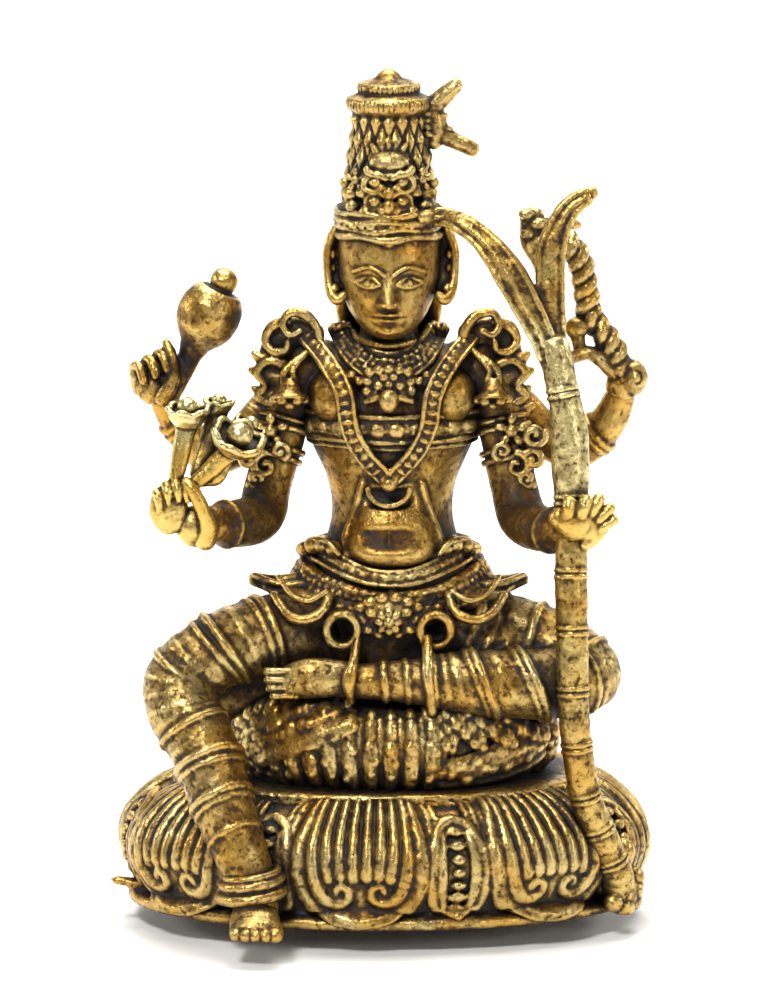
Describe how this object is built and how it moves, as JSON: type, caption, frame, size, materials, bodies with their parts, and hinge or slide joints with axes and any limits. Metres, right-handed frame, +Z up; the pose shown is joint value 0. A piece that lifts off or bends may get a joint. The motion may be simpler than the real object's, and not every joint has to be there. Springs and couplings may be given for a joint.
{
  "type": "parvati figure",
  "caption": "Small cast figure of a four-armed seated goddess with a cane, mace, noose and flowers, on a ruffled seat and an oval lotus plinth.",
  "frame": {"origin": "middle of the plinth's oval, on its flat underside", "axes": "+Z up along the figure, -Y the way the figure faces, +X to the viewer's right when facing the figure"},
  "size_m": [0.0485, 0.0376, 0.0748],
  "materials": {
    "antique_brass": "cast brass, darkened in the recesses and rubbed bright on the raised parts"
  },
  "bodies": {
    "root": {"parvati_figure": "antique_brass"}
  },
  "joints": []
}
